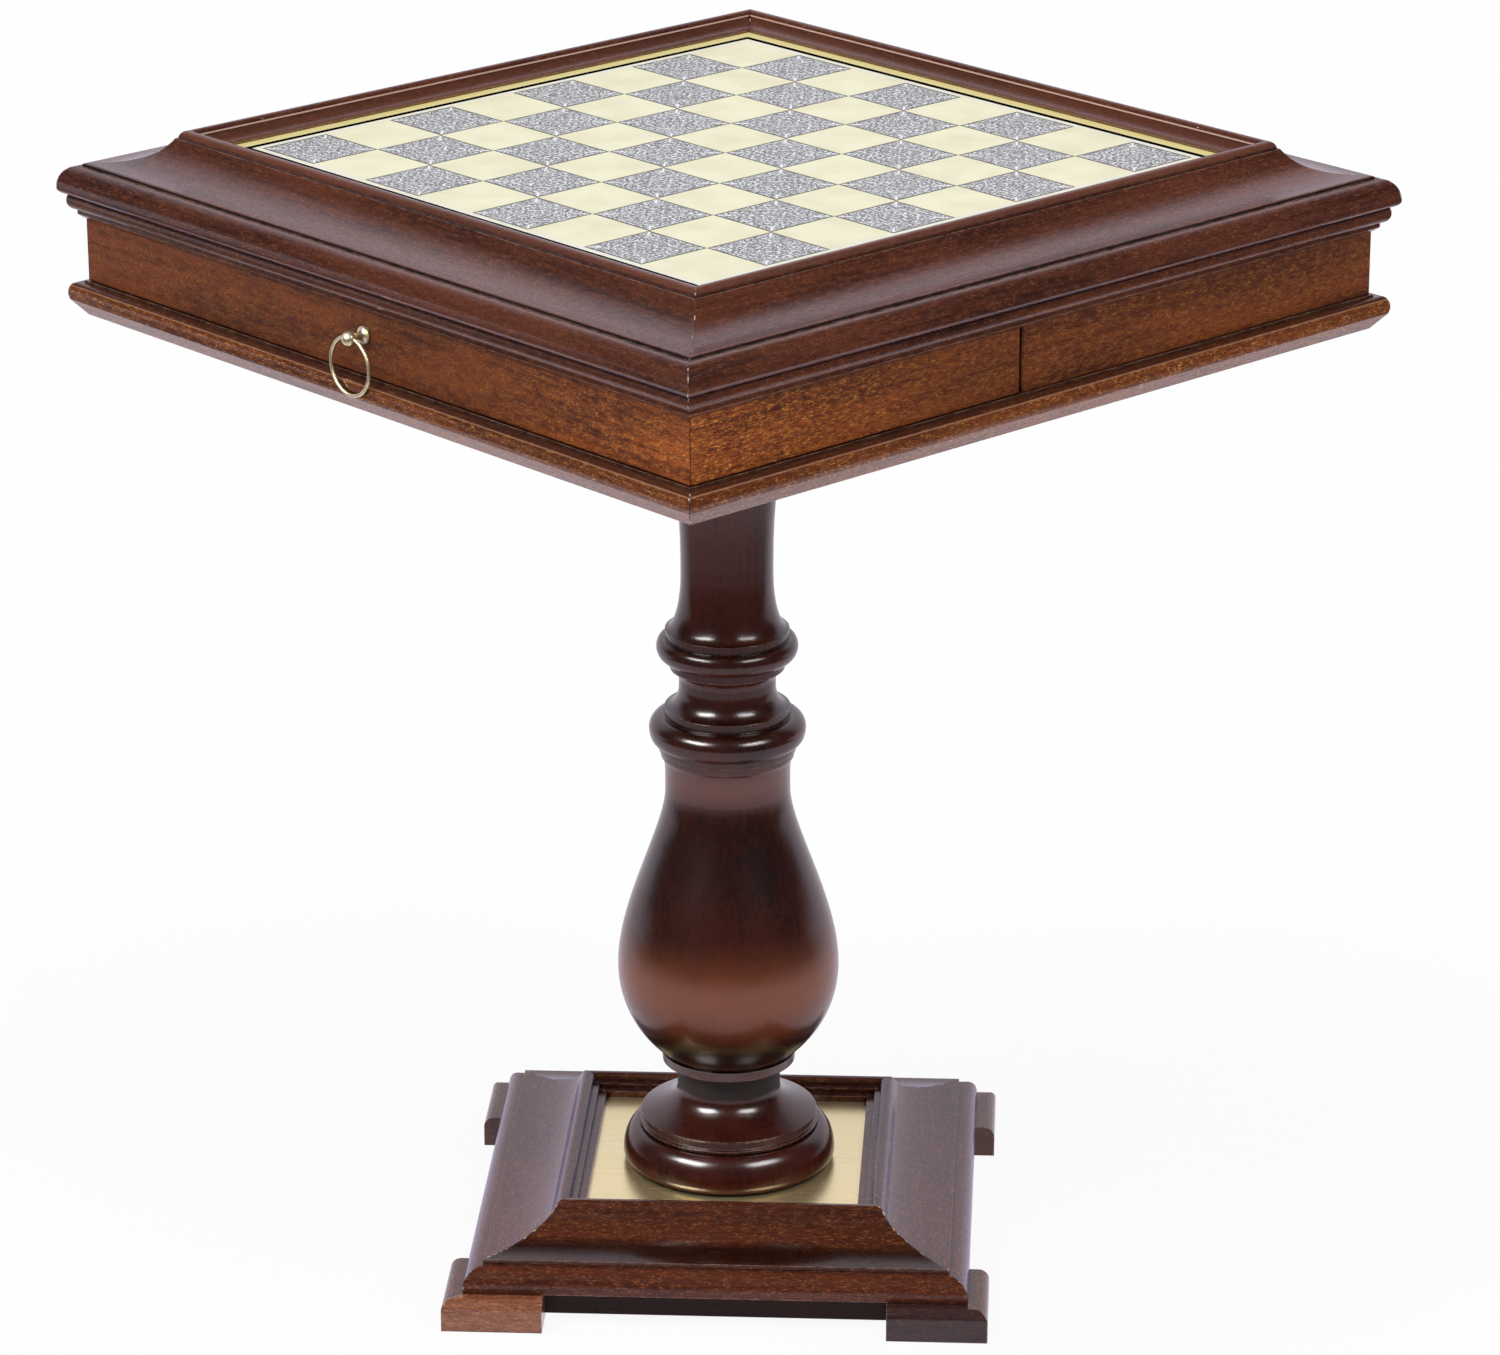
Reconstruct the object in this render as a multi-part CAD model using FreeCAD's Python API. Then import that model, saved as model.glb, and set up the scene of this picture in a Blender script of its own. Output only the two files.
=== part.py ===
import FreeCAD, Part
import math
import os

os.makedirs("parts", exist_ok=True)

# Chess table: a framed playing board on a drawer box that turns on a
# pedestal of turned wood, with a square moulded base on four corner feet.
# Millimetres. +Z up, floor at zero, +X and +Y square to the board's edges.
# The drawer opens towards -Y.

# General
overrun = 5.0                # how far a cutting shape passes its surface
up = FreeCAD.Vector(0, 0, 1)
along_x = FreeCAD.Vector(1, 0, 0)
along_y = FreeCAD.Vector(0, 1, 0)
centre = FreeCAD.Vector(0, 0, 0)
round_share = 0.5523         # handle share that makes a Bezier a quarter ellipse
side_turns = {"front": 0, "right": 90, "back": 180, "left": 270}

# Base: height and plan
foot_height = 19.5
foot_proud = 12.0            # foot's outer face beyond the nosing
foot_leg_length = 60.5
foot_leg_width = 26.0
foot_edge_radius = 6.5
bottom_board_lift = 1.0      # base's bottom board above the floor
base_turn = 44.5             # degrees, base against the board
base_core_thickness = 24.3
brass_plate_thickness = 1.0

# Base: frame moulding, widths from the brass plate outwards
base_opening_half = 82.7
base_step_height = 3.8       # inner step above the brass plate
base_step_width = 4.9
base_second_step_height = 3.3
base_second_step_width = 3.9
base_ridge_riser = 3.4
base_ridge_width = 10.3
base_ridge_crown = 1.5       # ridge top above its inner edge
base_ridge_fall = 5.2        # ridge inner edge down to the cove's top
ridge_neck_lean = 2.0        # handle outwards where ridge and cove meet
ridge_neck_rise = 2.6        # handle upwards there
ridge_neck_stretch = 2.6     # cove's handle against the ridge's
base_cove_width = 38.2
base_cove_drop = 13.4
base_cove_riser = 3.3
base_nosing_ledge = 1.2
base_nosing_width = 10.3
base_nosing_drop = 10.6
ridge_crown_share = 0.4      # where the crown sits across the ridge

# Turned foot of the column, from the brass plate upwards
foot_seat_radius = 58.0
foot_bulge_radius = 65.4
foot_bulge_height = 6.4
foot_bead_top_radius = 55.4
foot_bead_height = 17.6
foot_crease_radius = 53.8
foot_crease_height = 1.0
foot_annulet_radius = 55.0
foot_annulet_height = 1.5
foot_annulet_slope = 0.6
foot_band_radius = 53.2
foot_band_height = 4.3
bell_edge_radius = 54.2
bell_edge_height = 1.1
foot_bell_height = 17.2
foot_neck_radius = 31.6
foot_neck_height = 13.9

# Column, from the turned foot upwards
ring_foot_radius = 40.8
ring_cavetto_height = 3.4
ring_height = 5.9
ring_top_radius = 41.4
ring_ledge = 1.8
vase_height = 57.0           # ring to the widest point
vase_radius = 67.7
vase_shoulder_height = 114.5
vase_neck_radius = 38.0
vase_neck_height = 12.3
fillet_cavetto_height = 10.0
fillet_low_radius = 40.4
fillet_low_height = 4.4
fillet_low_flare = 0.6
fillet_ledge = 0.8
fillet_radius = 42.8
fillet_height = 9.1
big_bead_lower_radius = 43.4
big_bead_lower_height = 8.6
big_bead_radius = 47.5
big_bead_upper_height = 8.2
big_bead_upper_radius = 39.6
collar_radius = 38.0
collar_height = 5.4
collar_cavetto_height = 13.2
waist_radius = 29.3
waist_height = 4.5
waist_upper_cavetto_height = 7.3
waist_fillet_radius = 34.8
waist_fillet_height = 5.4
small_bead_lower_radius = 36.2
small_bead_lower_height = 7.8
small_bead_radius = 42.8
small_bead_upper_height = 6.0
small_bead_upper_radius = 39.0
upper_collar_radius = 37.5
upper_collar_height = 5.3
upper_cavetto_height = 34.7
upper_neck_radius = 27.9
upper_neck_straight = 8.0
upper_flare_height = 129.8
upper_flare_radius = 41.0
column_cap_radius = 46.0
column_cap_height = 8.0

# Curve handles of the column, as shares of the run they lie on
vase_low_handle_share = 0.229
vase_shoulder_low_share = 0.348
vase_shoulder_high_share = 0.225
vase_foot_radius_share = 0.951
vase_foot_height_share = 0.354
bell_low_run_share = 0.406
bell_low_rise_share = 0.2
bell_high_share = 0.55
flare_low_share = 0.55
flare_high_share = 0.4

# Tie rod and its fastenings
rod_radius = 5.0
rod_wood_clearance = 0.6
rod_turning_clearance = 0.1
rod_tail = 3.5               # rod beyond a nut
thread_clearance = 0.05
nut_across_flats = 17.0
nut_sides = 6
nut_height = 7.0
nut_recess_clearance = 5.0   # around the lower washer
washer_radius = 15.0
washer_thickness = 2.0
bearing_radius = 40.0
bearing_thickness = 1.5
turning_gap = 0.3

# Box under the board
mount_block_half = 75.0
mount_block_thickness = 18.0
block_screw_radius = 2.2
block_screw_head_radius = 4.5
block_screw_head_height = 2.6
block_screw_length = 26.0
block_screw_inset = 16.0
bottom_panel_thickness = 12.0
lower_rail_width = 33.5      # moulding's full width, inner face to lip
lower_rail_below_panel = 8.9
apron_setback = 12.2         # box's outer face inside the board frame's nosing
apron_height = 38.2
apron_thickness = 12.0
top_panel_inset = 20.4       # top panel's edge inside the box's outer face

# Lower moulding, from the apron's foot outwards
lower_bead_reach = 2.0
lower_bead_drop = 1.2
lower_lip_ledge = 3.2
lower_lip_reach = 9.1
lower_lip_drop = 6.6
lower_lip_belly = 3.8
lower_belly_inset = 0.7
lower_sole_reach = 0.8       # outer edge of the sole beyond the apron

# Bed moulding under the board frame
bed_height = 14.2
bed_strip_reach = 7.0
bed_strip_belly = 8.2
bed_strip_foot = 4.1
bed_strip_height = 9.0
bed_belly_share = 0.42
thin_strip_height = 2.8
thin_strip_ledge = 0.4
thin_strip_slope = 0.8

# Board frame moulding, from the board outwards and above its face
square_size = 48.0
squares_per_side = 8
square_joint = 0.2           # hairline between neighbouring squares
margin_width = 4.2
line_width = 4.2
border_width = 8.4
inlay_depth = 0.5
board_plate_thickness = 2.0
board_panel_thickness = 12.0
board_fit = 0.2
board_groove_depth = 4.4
frame_below_board = 29.0
lip_edge = 1.0
lip_run = 10.3
lip_rise = 7.4
rim_width = 7.7
rim_crown = 2.8              # rim top above the lip's arris
rim_crown_share = 0.45
rim_outer_fall = 2.2         # rim's outer foot below the arris
rim_groove_width = 1.2
rim_groove_lip = 0.4         # cove's top above the rim's outer foot
frame_cove_width = 37.5
frame_cove_drop = 15.5
cove_high_run_share = 0.136
cove_high_drop_share = 0.48
cove_low_run_share = 0.31
cove_lip_reach = 2.0         # dark lip beyond the cove's foot
cove_lip_drop = 1.9
ledge_strip_width = 1.1
ledge_groove_width = 0.8
ledge_groove_depth = 0.7
nosing_reach = 13.1          # widest point beyond the cove's foot
nosing_belly_drop = 13.0
nosing_upper_share = 0.55
nosing_foot_inset = 6.0

# Drawer
drawer_running_gap = 0.4
drawer_end = 20.9            # centre to the drawer sides' rear ends
rear_apron_end = 19.7        # centre to the fixed aprons' front ends
end_round_radius = 2.6
drawer_back_thickness = 10.0
drawer_back_inset = 16.0     # back panel ahead of the sides' rear ends
drawer_bottom_thickness = 6.0
drawer_bottom_lift = 6.0     # bottom above the sides' lower edges
drawer_groove_depth = 4.0
runner_width = 10.0
runner_height = 5.0
runner_side_gap = 0.5
runner_front_gap = 2.5
divider_front = 22.0         # centre to the divider's front face
divider_thickness = 18.0

# Ring pull
pull_offset = 6.2            # towards -X from the drawer front's middle
pull_height_share = 0.62     # up the drawer front
cup_radius = 5.2
cup_rim_depth = 1.2
cup_waist_radius = 2.1
cup_depth = 5.0
ball_radius = 4.5
ball_reach = 10.9            # ball centre in front of the drawer front
shank_radius = 2.0
pull_nut_radius = 4.5
pull_nut_height = 3.0
ring_wire_radius = 1.1
ring_mean_radius = 16.9
pivot_radius = 0.9
pivot_clearance = 0.08
pivot_inner_end = 1.0
pivot_outer_end = 5.1

# Reaches from the centre line, worked out from the sizes above
base_reach = (base_opening_half + base_step_width + base_second_step_width
              + base_ridge_width + base_cove_width + base_nosing_ledge
              + base_nosing_width)
foot_reach = base_reach + foot_proud
board_opening_half = (square_size * squares_per_side / 2 + margin_width
                      + line_width + border_width)
frame_reach = (board_opening_half + lip_run + rim_width + rim_groove_width
               + frame_cove_width + nosing_reach)
apron_half = frame_reach - apron_setback
top_panel_half = apron_half - top_panel_inset

# Levels worked out from the sizes above
base_core_top = foot_height + base_core_thickness
brass_plate_top = base_core_top + brass_plate_thickness
foot_rings_height = (foot_crease_height + foot_annulet_height
                     + foot_annulet_slope + foot_band_height + bell_edge_height)
turned_foot_height = (foot_bulge_height + foot_bead_height + foot_rings_height
                      + foot_bell_height + foot_neck_height
                      + ring_cavetto_height)
column_bottom = brass_plate_top + turned_foot_height


def point(across, level):
    """Point of a section: distance from the centre line and level."""
    return FreeCAD.Vector(across, level, 0)


def straight(start, end):
    """Straight edge of a section."""
    return Part.LineSegment(start, end).toShape()


def handle(start, end, share):
    """Point a share of the way from start to end."""
    return start + (end - start) * share


def curve(start, first, second, end):
    """Smooth edge that leaves towards first and arrives from second."""
    bezier = Part.BezierCurve()
    bezier.setPoles([start, first, second, end])
    return bezier.toShape()


def rise_then_run(start, end):
    """Quarter curve that leaves upright and arrives level."""
    corner = point(start.x, end.y)
    return curve(start, handle(start, corner, round_share),
                 handle(end, corner, round_share), end)


def run_then_rise(start, end):
    """Quarter curve that leaves level and arrives upright."""
    corner = point(end.x, start.y)
    return curve(start, handle(start, corner, round_share),
                 handle(end, corner, round_share), end)


def section_face(edges):
    """Closed face from a chain of edges."""
    return Part.Face(Part.Wire(edges))


def polygon_edges(points):
    """Straight edges through the points in order."""
    return [straight(a, b) for a, b in zip(points[:-1], points[1:])]


def mitred_rail(face, reach, turn):
    """Rail along one side of a square frame, cut at 45 degrees at both ends.

    The section's first axis points away from the centre, and its second up.
    """
    upright = face.copy()
    upright.rotate(centre, along_x, 90)
    upright.translate(along_y * (reach + overrun))
    bar = upright.extrude(along_y * -2 * (reach + overrun))
    tip = reach + 2 * overrun
    box = bar.BoundBox
    low = box.ZMin - overrun
    corners = [FreeCAD.Vector(0, 0, low), FreeCAD.Vector(tip, -tip, low),
               FreeCAD.Vector(tip, tip, low), FreeCAD.Vector(0, 0, low)]
    wedge = Part.Face(Part.makePolygon(corners))
    wedge = wedge.extrude(up * (box.ZLength + 2 * overrun))
    rail = bar.common(wedge)
    rail.rotate(centre, up, turn - 90)
    return solid_of(rail)


def solid_of(shape):
    """The only solid of a shape."""
    return shape.Solids[0]


def turned(edges):
    """Solid of revolution about the column's axis from an outline."""
    face = section_face(edges)
    face.rotate(centre, along_x, 90)
    return solid_of(face.revolve(centre, up, 360))


def block(low, high):
    """Box from its low corner to its high corner."""
    size = high - low
    return Part.makeBox(size.x, size.y, size.z, low)


def slab(half, low, high):
    """Square panel about the centre line between two levels."""
    return block(FreeCAD.Vector(-half, -half, low),
                 FreeCAD.Vector(half, half, high))


def upright_hole(radius, low, high):
    """Cutter for a hole along the column's axis."""
    start = FreeCAD.Vector(0, 0, low - overrun)
    return Part.makeCylinder(radius, high - low + 2 * overrun, start, up)


def save(name, shape):
    """Write one piece, or one group of like pieces, as a STEP file."""
    shape.exportStep("parts/" + name + ".step")


# Base
def base_rail_section():
    """Inner steps, ridge, cove and nosing of the base frame."""
    inner = base_opening_half
    sole = foot_height
    level = brass_plate_top + base_step_height
    points = [point(inner, sole), point(inner, level)]
    across = inner + base_step_width
    points.append(point(across, level))
    level = level + base_second_step_height
    points.append(point(across, level))
    across = across + base_second_step_width
    points.append(point(across, level))
    level = level + base_ridge_riser
    points.append(point(across, level))
    edges = polygon_edges(points)
    ridge_in = points[-1]
    crown = point(across + base_ridge_width * ridge_crown_share,
                  level + base_ridge_crown)
    across = across + base_ridge_width
    level = level - base_ridge_fall
    ridge_out = point(across, level)
    edges.append(rise_then_run(ridge_in, crown))
    above = point(ridge_out.x - ridge_neck_lean, ridge_out.y + ridge_neck_rise)
    below = handle(above, ridge_out, ridge_neck_stretch)
    crown_handle = handle(crown, point(ridge_out.x, crown.y), round_share)
    edges.append(curve(crown, crown_handle, above, ridge_out))
    cove_end = point(across + base_cove_width, level - base_cove_drop)
    cove_handle = handle(cove_end, point(ridge_out.x, cove_end.y), round_share)
    edges.append(curve(ridge_out, below, cove_handle, cove_end))
    riser_foot = point(cove_end.x, cove_end.y - base_cove_riser)
    ledge = point(riser_foot.x + base_nosing_ledge, riser_foot.y)
    nose = point(ledge.x + base_nosing_width, ledge.y - base_nosing_drop)
    edges += polygon_edges([cove_end, riser_foot, ledge])
    edges.append(run_then_rise(ledge, nose))
    edges += polygon_edges([nose, point(nose.x, sole), points[0]])
    return section_face(edges), nose.x


def foot_leg(sign_x, sign_y, lies_along_x):
    """One leg of an L-shaped corner foot, mitred at the corner."""
    inner = foot_reach - foot_leg_width
    far = foot_reach - foot_leg_length
    if lies_along_x:
        low = FreeCAD.Vector(far, inner, 0)
    else:
        low = FreeCAD.Vector(inner, far, 0)
    leg = block(low, FreeCAD.Vector(foot_reach, foot_reach, foot_height))
    rounded = []
    for edge in leg.Edges:
        box = edge.BoundBox
        middle = edge.CenterOfMass
        outer = middle.y if lies_along_x else middle.x
        if box.ZMin > foot_height / 2 and outer > foot_reach - overrun:
            rounded.append(edge)
    leg = leg.makeFillet(foot_edge_radius, rounded)
    tip = foot_reach + overrun
    start = inner - overrun
    if lies_along_x:
        third = FreeCAD.Vector(start, tip, -overrun)
    else:
        third = FreeCAD.Vector(tip, start, -overrun)
    corners = [FreeCAD.Vector(start, start, -overrun),
               FreeCAD.Vector(tip, tip, -overrun), third]
    keep = Part.Face(Part.makePolygon(corners + corners[:1]))
    keep = keep.extrude(up * (foot_height + 2 * overrun))
    long_part = block(FreeCAD.Vector(-overrun, -overrun, -overrun),
                      FreeCAD.Vector(inner, inner, foot_height + overrun))
    if lies_along_x:
        long_part.translate(along_y * (foot_leg_width + overrun))
    else:
        long_part.translate(along_x * (foot_leg_width + overrun))
    leg = solid_of(leg.common(keep.fuse(long_part)).removeSplitter())
    if sign_x < 0:
        leg = leg.mirror(centre, along_x)
    if sign_y < 0:
        leg = leg.mirror(centre, along_y)
    return leg


def turn_base(shape):
    """Turn a base piece to its angle against the board."""
    shape.rotate(centre, up, base_turn)
    return shape


def make_base():
    face, reach = base_rail_section()
    for side, turn in side_turns.items():
        save("base_rail_" + side, turn_base(mitred_rail(face, reach, turn)))
    rod_hole_radius = rod_radius + rod_wood_clearance
    hole = upright_hole(rod_hole_radius, foot_height, brass_plate_top)
    core = slab(base_opening_half, foot_height, base_core_top)
    save("base_core", turn_base(core.cut(hole)))
    plate = slab(base_opening_half, base_core_top, brass_plate_top)
    save("base_brass_plate", turn_base(plate.cut(hole)))
    recess = upright_hole(washer_radius + nut_recess_clearance,
                          bottom_board_lift, foot_height)
    board = slab(foot_reach - foot_leg_width, bottom_board_lift, foot_height)
    save("base_bottom_board", turn_base(board.cut(recess)))
    corners = {"front_left": (-1, -1), "front_right": (1, -1),
               "back_left": (-1, 1), "back_right": (1, 1)}
    for name, (sign_x, sign_y) in corners.items():
        wide = foot_leg(sign_x, sign_y, True)
        deep = foot_leg(sign_x, sign_y, False)
        save("foot_" + name + "_wide", turn_base(wide))
        save("foot_" + name + "_deep", turn_base(deep))


# Column
def turned_foot_edges():
    """Outline of the turned foot, from the plate up, without the axis side."""
    hole = rod_radius + rod_wood_clearance
    level = brass_plate_top
    start = point(hole, level)
    seat = point(foot_seat_radius, level)
    level = level + foot_bulge_height
    bulge = point(foot_bulge_radius, level)
    level = level + foot_bead_height
    bead_top = point(foot_bead_top_radius, level)
    crease_low = point(foot_crease_radius, level)
    level = level + foot_crease_height
    crease_top = point(foot_crease_radius, level)
    annulet_low = point(foot_annulet_radius, level)
    level = level + foot_annulet_height
    annulet_top = point(foot_annulet_radius, level)
    level = level + foot_annulet_slope
    band_low = point(foot_band_radius, level)
    level = level + foot_band_height
    band_top = point(foot_band_radius, level)
    bell_low = point(bell_edge_radius, level)
    level = level + bell_edge_height
    bell_edge = point(bell_edge_radius, level)
    bell_top = point(foot_neck_radius, level + foot_bell_height)
    neck_top = point(foot_neck_radius, bell_top.y + foot_neck_height)
    cavetto_top = point(ring_foot_radius, column_bottom)
    edges = [straight(start, seat), run_then_rise(seat, bulge)]
    edges.append(rise_then_run(bulge, bead_top))
    edges += polygon_edges([bead_top, crease_low, crease_top, annulet_low,
                            annulet_top, band_low, band_top, bell_low,
                            bell_edge])
    bell_run = bell_top - bell_edge
    low_handle = bell_edge + point(bell_run.x * bell_low_run_share,
                                   bell_run.y * bell_low_rise_share)
    high_handle = handle(bell_top, point(bell_top.x, bell_edge.y), bell_high_share)
    edges.append(curve(bell_edge, low_handle, high_handle, bell_top))
    edges += polygon_edges([bell_top, neck_top])
    edges.append(rise_then_run(neck_top, cavetto_top))
    edges += polygon_edges([cavetto_top, point(hole, column_bottom), start])
    return edges


def column_edges():
    """Outline of the column from the turned foot to its cap, and its top level."""
    hole = rod_radius + rod_wood_clearance
    level = column_bottom
    start = point(hole, level)
    ring_low = point(ring_foot_radius, level)
    level = level + ring_height
    ring_top = point(ring_top_radius, level)
    vase_foot = point(ring_top_radius - ring_ledge, level)
    edges = polygon_edges([start, ring_low, ring_top, vase_foot])
    belly = point(vase_radius, level + vase_height)
    foot_handle = point(vase_radius * vase_foot_radius_share,
                        level + vase_height * vase_foot_height_share)
    belly_handle = point(vase_radius, belly.y - vase_height * vase_low_handle_share)
    edges.append(curve(vase_foot, foot_handle, belly_handle, belly))
    level = belly.y + vase_shoulder_height
    shoulder = point(vase_neck_radius, level)
    low_handle = point(vase_radius,
                       belly.y + vase_shoulder_height * vase_shoulder_low_share)
    high_handle = point(vase_neck_radius,
                        level - vase_shoulder_height * vase_shoulder_high_share)
    edges.append(curve(belly, low_handle, high_handle, shoulder))
    level = level + vase_neck_height
    vase_neck = point(vase_neck_radius, level)
    edges.append(straight(shoulder, vase_neck))
    level = level + fillet_cavetto_height
    fillet_low = point(fillet_low_radius, level)
    edges.append(rise_then_run(vase_neck, fillet_low))
    fillet_ridge = point(fillet_low_radius + fillet_low_flare,
                         level + fillet_low_height)
    fillet_step = point(fillet_ridge.x + fillet_ledge, fillet_ridge.y)
    level = level + fillet_height
    fillet_top = point(fillet_radius, level)
    bead_low = point(big_bead_lower_radius, level)
    edges += polygon_edges([fillet_low, fillet_ridge, fillet_step, fillet_top,
                            bead_low])
    level = level + big_bead_lower_height
    bead_wide = point(big_bead_radius, level)
    edges.append(run_then_rise(bead_low, bead_wide))
    level = level + big_bead_upper_height
    bead_high = point(big_bead_upper_radius, level)
    edges.append(rise_then_run(bead_wide, bead_high))
    collar_low = point(collar_radius, level)
    level = level + collar_height
    collar_top = point(collar_radius, level)
    edges += polygon_edges([bead_high, collar_low, collar_top])
    level = level + collar_cavetto_height
    waist_low = point(waist_radius, level)
    edges.append(run_then_rise(collar_top, waist_low))
    level = level + waist_height
    waist_top = point(waist_radius, level)
    edges.append(straight(waist_low, waist_top))
    level = level + waist_upper_cavetto_height
    small_fillet_low = point(waist_fillet_radius, level)
    edges.append(rise_then_run(waist_top, small_fillet_low))
    level = level + waist_fillet_height
    small_fillet_top = point(waist_fillet_radius, level)
    small_low = point(small_bead_lower_radius, level)
    edges += polygon_edges([small_fillet_low, small_fillet_top, small_low])
    level = level + small_bead_lower_height
    small_wide = point(small_bead_radius, level)
    edges.append(run_then_rise(small_low, small_wide))
    level = level + small_bead_upper_height
    small_high = point(small_bead_upper_radius, level)
    edges.append(rise_then_run(small_wide, small_high))
    upper_collar_low = point(upper_collar_radius, level)
    level = level + upper_collar_height
    upper_collar_top = point(upper_collar_radius, level)
    edges += polygon_edges([small_high, upper_collar_low, upper_collar_top])
    level = level + upper_cavetto_height
    neck_low = point(upper_neck_radius, level)
    edges.append(run_then_rise(upper_collar_top, neck_low))
    level = level + upper_neck_straight
    neck_high = point(upper_neck_radius, level)
    edges.append(straight(neck_low, neck_high))
    level = level + upper_flare_height
    flare_top = point(upper_flare_radius, level)
    low_handle = handle(neck_high, point(neck_high.x, level), flare_low_share)
    high_handle = handle(flare_top, point(flare_top.x, neck_high.y), flare_high_share)
    edges.append(curve(neck_high, low_handle, high_handle, flare_top))
    cap_low = point(column_cap_radius, level)
    level = level + column_cap_height
    cap_top = point(column_cap_radius, level)
    edges += polygon_edges([flare_top, cap_low, cap_top, point(hole, level), start])
    return edges, level


def hexagon_nut(bottom):
    """Hexagon nut on the tie rod."""
    corner = nut_across_flats / 2 / math.cos(math.pi / nut_sides)
    ring = []
    for step in range(nut_sides + 1):
        angle = 2 * math.pi * step / nut_sides
        ring.append(FreeCAD.Vector(corner * math.cos(angle),
                                   corner * math.sin(angle), bottom))
    nut = Part.Face(Part.makePolygon(ring)).extrude(up * nut_height)
    bore = upright_hole(rod_radius + thread_clearance, bottom, bottom + nut_height)
    return solid_of(nut.cut(bore))


def washer(bottom):
    """Flat washer on the tie rod."""
    low = FreeCAD.Vector(0, 0, bottom)
    disc = Part.makeCylinder(washer_radius, washer_thickness, low, up)
    bore = upright_hole(rod_radius + thread_clearance, bottom,
                        bottom + washer_thickness)
    return solid_of(disc.cut(bore))


def make_column():
    save("column_foot", turned(turned_foot_edges()))
    edges, top = column_edges()
    save("column", turned(edges))
    bearing = Part.makeCylinder(bearing_radius, bearing_thickness,
                                FreeCAD.Vector(0, 0, top), up)
    bore = upright_hole(rod_radius + thread_clearance, top,
                        top + bearing_thickness)
    save("bearing_washer", solid_of(bearing.cut(bore)))
    block_bottom = top + bearing_thickness + turning_gap
    panel_bottom = block_bottom + mount_block_thickness
    panel_top = panel_bottom + bottom_panel_thickness
    low_washer = foot_height - washer_thickness
    low_nut = low_washer - nut_height
    high_washer = panel_top + turning_gap
    high_nut = high_washer + washer_thickness
    rod_bottom = low_nut - rod_tail
    rod_top = high_nut + nut_height + rod_tail
    rod = Part.makeCylinder(rod_radius, rod_top - rod_bottom,
                            FreeCAD.Vector(0, 0, rod_bottom), up)
    save("tie_rod", rod)
    nuts = [hexagon_nut(low_nut), hexagon_nut(high_nut)]
    save("rod_nuts", Part.makeCompound(nuts))
    washers = [washer(low_washer), washer(high_washer)]
    save("rod_washers", Part.makeCompound(washers))
    return block_bottom, panel_top


# Box under the board
def lower_rail_section(panel_top, panel_bottom):
    """Lower moulding: small bead, rounded lip and slanting underside."""
    sole = panel_bottom - lower_rail_below_panel
    inner = apron_half + lower_lip_reach - lower_rail_width
    start = point(inner, sole)
    bead_edge = point(apron_half + lower_bead_reach, panel_top)
    bead_foot = point(bead_edge.x, panel_top - lower_bead_drop)
    ledge = point(bead_foot.x + lower_lip_ledge, bead_foot.y)
    lip = point(apron_half + lower_lip_reach, bead_foot.y - lower_lip_drop)
    belly = point(lip.x - lower_belly_inset, lip.y - lower_lip_belly)
    sole_edge = point(apron_half + lower_sole_reach, sole)
    edges = polygon_edges([start, point(inner, panel_top), bead_edge,
                           bead_foot, ledge])
    edges.append(run_then_rise(ledge, lip))
    belly_handle = handle(lip, point(lip.x, belly.y), round_share)
    edges.append(curve(lip, belly_handle, handle(belly, lip, round_share), belly))
    edges += polygon_edges([belly, sole_edge, start])
    return section_face(edges), lip.x, inner


def bed_rail_section(top):
    """Two stepped strips that carry the board frame."""
    bottom = top - bed_height
    inner = top_panel_half
    strip_top = point(apron_half + bed_strip_reach, top)
    belly = point(apron_half + bed_strip_belly,
                  top - bed_strip_height * bed_belly_share)
    strip_foot = point(apron_half + bed_strip_foot, top - bed_strip_height)
    thin_top = point(strip_foot.x - thin_strip_ledge, strip_foot.y)
    thin_foot = point(thin_top.x, thin_top.y - thin_strip_height)
    sole_edge = point(apron_half + thin_strip_slope, bottom)
    edges = polygon_edges([point(inner, bottom), point(inner, top), strip_top])
    edges.append(run_then_rise(strip_top, belly))
    edges.append(rise_then_run(belly, strip_foot))
    edges += polygon_edges([strip_foot, thin_top, thin_foot, sole_edge,
                            point(inner, bottom)])
    return section_face(edges), belly.x


def screw_places():
    """Four screw positions of the mounting block."""
    offset = mount_block_half - block_screw_inset
    return [(x, y) for x in (-offset, offset) for y in (-offset, offset)]


def block_screw(x, y, low, radius, head_radius):
    """Countersunk screw, or its hole, from the block's underside up."""
    start = FreeCAD.Vector(x, y, low)
    head = Part.makeCone(head_radius, radius, block_screw_head_height, start, up)
    shank = Part.makeCylinder(radius, block_screw_length, start, up)
    return solid_of(head.fuse(shank).removeSplitter())


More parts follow.
